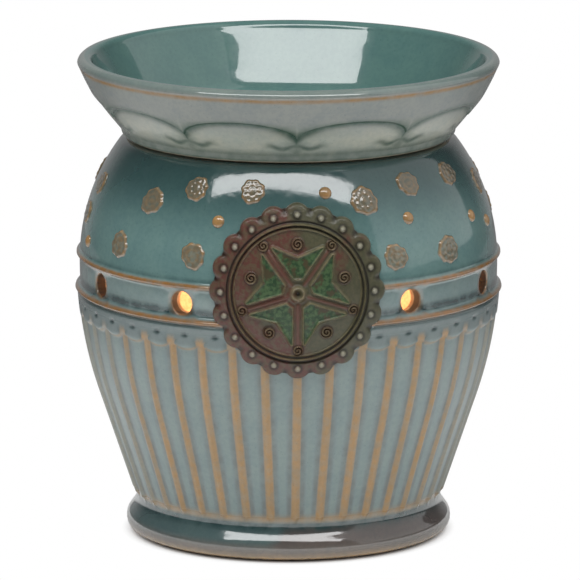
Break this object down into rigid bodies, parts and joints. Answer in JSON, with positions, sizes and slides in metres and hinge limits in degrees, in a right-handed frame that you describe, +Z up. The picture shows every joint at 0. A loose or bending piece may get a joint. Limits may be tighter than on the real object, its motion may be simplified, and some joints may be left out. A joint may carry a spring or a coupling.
{
  "type": "electric wax melt warmer",
  "caption": "Glazed ceramic urn with a ribbed body, a pierced belt and a round rosette plaque, a lamp inside, and a loose flared dish on top that melts scented wax.",
  "frame": {"origin": "middle of the footprint, at the table", "axes": "+Z up along the urn's axis; the plaque faces -Y, and the cord's grommet is at +Y"},
  "size_m": [0.1388, 0.14, 0.1569],
  "materials": {
    "urn_glaze": "gloss",
    "medallion_glaze": "satin",
    "dish_glaze": "gloss",
    "zinc_steel": "satin",
    "fibre": "matte",
    "cover_paint": "satin",
    "black_rubber": "matte",
    "white_porcelain": "gloss",
    "plain_brass": "satin",
    "lamp_glass": "clear",
    "clear_glass": "clear",
    "lead_wire": "satin",
    "nickelled_brass": "satin",
    "black_glass": "gloss",
    "solder": "satin"
  },
  "bodies": {
    "base": {"body_shell": "urn_glaze", "medallion": "medallion_glaze", "threaded_pipe": "zinc_steel", "upper_nut": "zinc_steel", "clamp_washer": "zinc_steel", "upper_cushion": "fibre", "lower_cushion": "fibre", "base_strap": "zinc_steel", "lower_nut": "zinc_steel", "base_cover": "cover_paint", "cover_screws": "zinc_steel", "cord_grommet": "black_rubber", "rubber_foot_1": "black_rubber", "rubber_foot_2": "black_rubber", "rubber_foot_3": "black_rubber", "rubber_foot_4": "black_rubber", "holder_cap": "zinc_steel", "holder_screws": "zinc_steel", "lampholder": "white_porcelain", "socket_sleeve": "plain_brass", "centre_contact": "plain_brass", "terminal_blocks": "plain_brass", "terminal_screws": "plain_brass"},
    "bulb": {"bulb_glass": "lamp_glass", "bulb_stem": "clear_glass", "bulb_leads": "lead_wire", "bulb_filament": "lead_wire", "bulb_cap": "nickelled_brass", "bulb_insulator": "black_glass", "bulb_tip": "solder"},
    "dish": {"wax_dish": "dish_glaze"}
  },
  "joints": [
    {"name": "dish_lift", "type": "slide", "parent": "base", "child": "dish", "axis": [0, 0, 1], "range_m": [0, 0.06]},
    {"name": "bulb_lift", "type": "slide", "parent": "base", "child": "bulb", "axis": [0, 0, 1], "range_m": [0, 0.022]}
  ]
}
